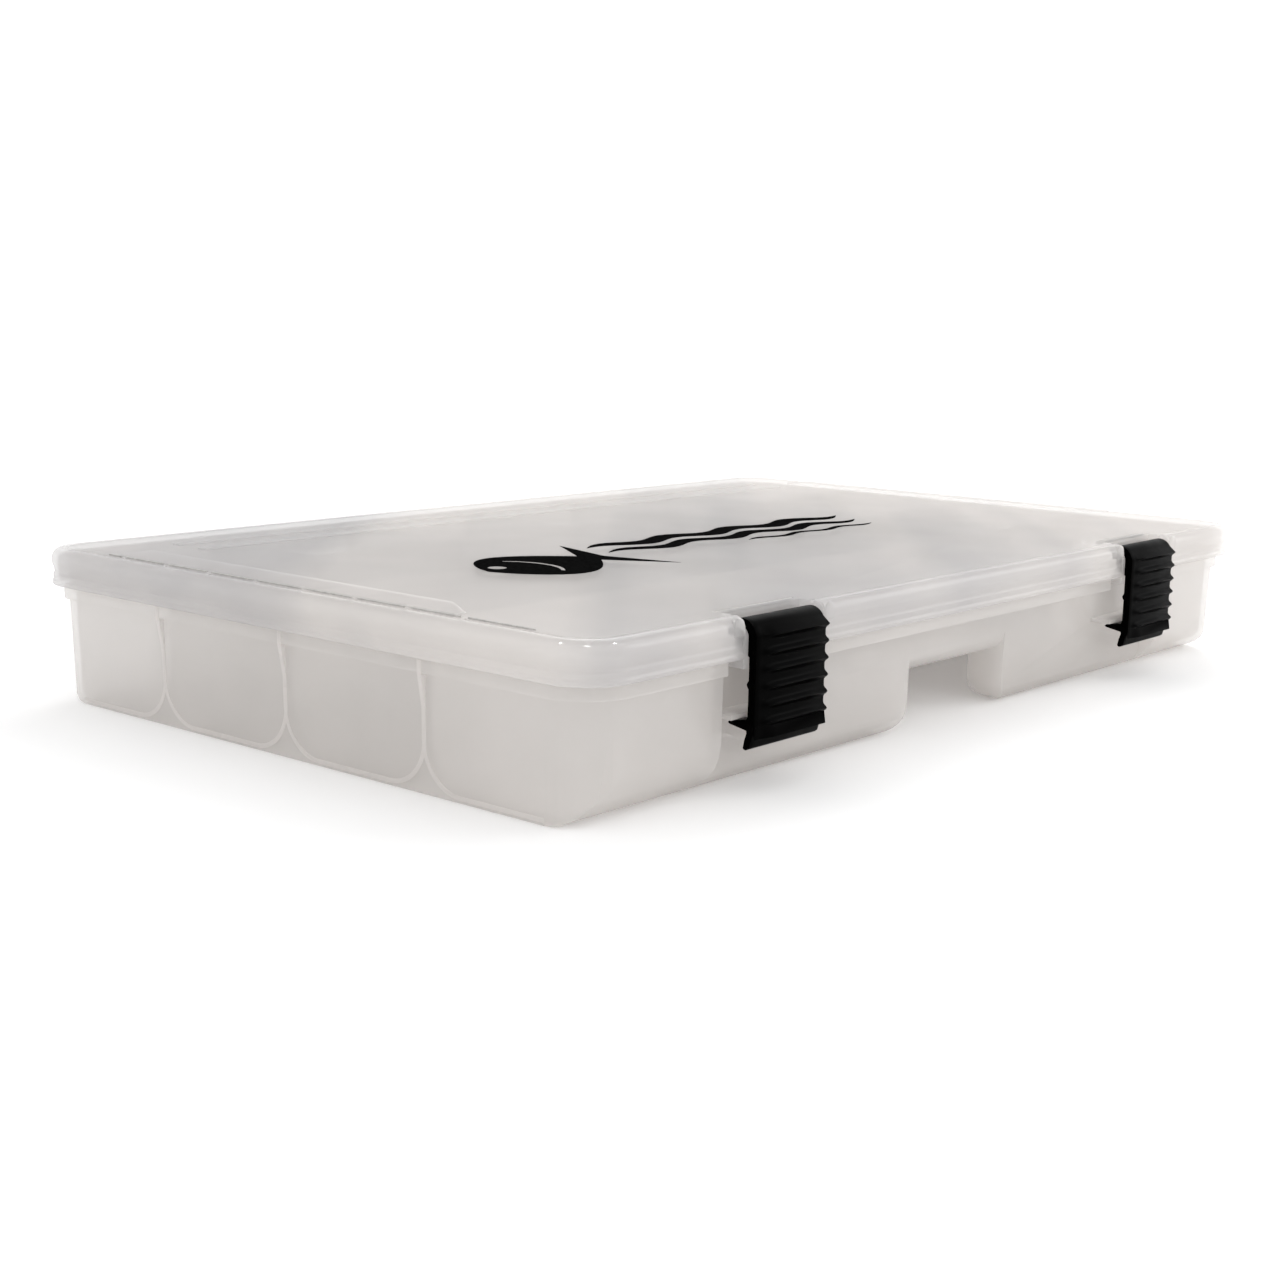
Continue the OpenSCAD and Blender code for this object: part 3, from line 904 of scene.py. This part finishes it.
def make_floor():
    """Plain white floor."""
    bm = bmesh.new()
    bm.faces.new(add_ring(bm, [(x * FLOOR_HALF, y * FLOOR_HALF, FLOOR_Z) for x, y in
                               ((-1, -1), (1, -1), (1, 1), (-1, 1))]))
    n = Nodes("floor_paper")
    shader = n.add("ShaderNodeBsdfPrincipled")
    shader.inputs["Base Color"].default_value = (0.96, 0.96, 0.96, 1.0)
    shader.inputs["Roughness"].default_value = 0.8
    shader.inputs["Specular IOR Level"].default_value = 0.0
    n.link(shader.outputs[0], n.output.inputs["Surface"])
    floor = new_piece("floor", bm, n.material)


UNDER_LIGHT = 0.7  # strength of the surroundings from below, level with and above the case
HORIZON_LIGHT = 1.2
OVERHEAD_LIGHT = 1.06
CENTRE = Vector((0.0, 0.0, 0.02))
GLINT_REACH = 0.8  # distance of the glint lights from the middle, seen from above
GLINT_HEIGHT = 1.4


def area_light(name, place, size, power):
    """A flat light that faces the middle of the case."""
    data = bpy.data.lights.new(name, "AREA")
    data.shape = "RECTANGLE"
    data.size, data.size_y = size
    data.energy = power
    light = bpy.data.objects.new(name, data)
    light.location = place
    light.rotation_mode = "QUATERNION"
    light.rotation_quaternion = (CENTRE - Vector(place)).to_track_quat("-Z", "Y")
    bpy.context.scene.collection.objects.link(light)
    return light


def make_world():
    """White surroundings, brightest level with the case and dimmer below it."""
    world = bpy.data.worlds.new("studio")
    world.use_nodes = True
    tree = world.node_tree
    background = tree.nodes["Background"]
    background.inputs["Color"].default_value = (1.0, 1.0, 1.0, 1.0)
    height = tree.nodes.new("ShaderNodeSeparateXYZ")
    tree.links.new(tree.nodes.new("ShaderNodeTexCoord").outputs["Generated"], height.inputs[0])
    total = tree.nodes.new("ShaderNodeMath")
    for socket, start, low, high in (
            (total.inputs[0], -1.0, UNDER_LIGHT, HORIZON_LIGHT),
            (total.inputs[1], 0.0, 0.0, OVERHEAD_LIGHT - HORIZON_LIGHT)):
        fade = tree.nodes.new("ShaderNodeMapRange")
        fade.inputs["From Min"].default_value = start
        fade.inputs["From Max"].default_value = start + 1.0
        fade.inputs["To Min"].default_value = low
        fade.inputs["To Max"].default_value = high
        tree.links.new(height.outputs["Z"], fade.inputs["Value"])
        tree.links.new(fade.outputs["Result"], socket)
    tree.links.new(total.outputs["Value"], background.inputs["Strength"])
    bpy.context.scene.world = world


def make_lights():
    """Two softboxes, and three small lights that only the gloss on the edges shows."""
    area_light("key_softbox", (1.3, -0.95, 0.65), (0.9, 0.7), 6.0)
    area_light("top_softbox", (0.9, 0.5, 1.0), (0.8, 0.8), 4.0)
    glints = (("glint_left", -130.0, 7.0), ("glint_middle", -50.0, 11.0),
              ("glint_right", 45.0, 8.0))  # name, degrees round from the front, power
    for name, turn, power in glints:
        a = math.radians(turn)
        place = (GLINT_REACH * math.sin(a), -GLINT_REACH * math.cos(a), GLINT_HEIGHT)
        glint = area_light(name, place, (0.15, 0.15), power)
        glint.visible_diffuse = False
        glint.visible_transmission = False


CAMERA_PLACE = Vector((-494.1, -397.2, 126.34))
CAMERA_TURNS = (("Z", -49.621), ("X", 79.599), ("Z", 1.107))  # heading, tilt and roll


def make_camera():
    """The camera stands off the front left corner, a little above the lid."""
    data = bpy.data.cameras.new("camera")
    data.sensor_width = 36.0
    data.lens = 53.39
    camera = bpy.data.objects.new("camera", data)
    turn = Matrix.Identity(3)
    for axis, degrees in CAMERA_TURNS:
        turn = turn @ Matrix.Rotation(math.radians(degrees), 3, axis)
    camera.rotation_mode = "QUATERNION"
    camera.rotation_quaternion = turn.to_quaternion()
    camera.location = CAMERA_PLACE * MM
    data.clip_start = 0.01
    data.clip_end = 20.0
    bpy.context.scene.collection.objects.link(camera)
    bpy.context.scene.camera = camera


bpy.context.scene.view_settings.view_transform = "Standard"
make_camera()
make_world()
make_lights()
make_floor()
make_tray()
make_lane_lines(-1, "tray_lane_lines_left")
make_lane_lines(1, "tray_lane_lines_right")
for node in sorted(NODES):
    if node.startswith("divider_"):
        make_divider(node)
    elif node.startswith("hinge_pin_"):
        make_pin(node)
make_lid()
# grey strips that paint the shadow in the lid's grooves
make_painted_groove_shadow()
for side_name in ("left", "right"):
    make_latch(side_name)
make_print()
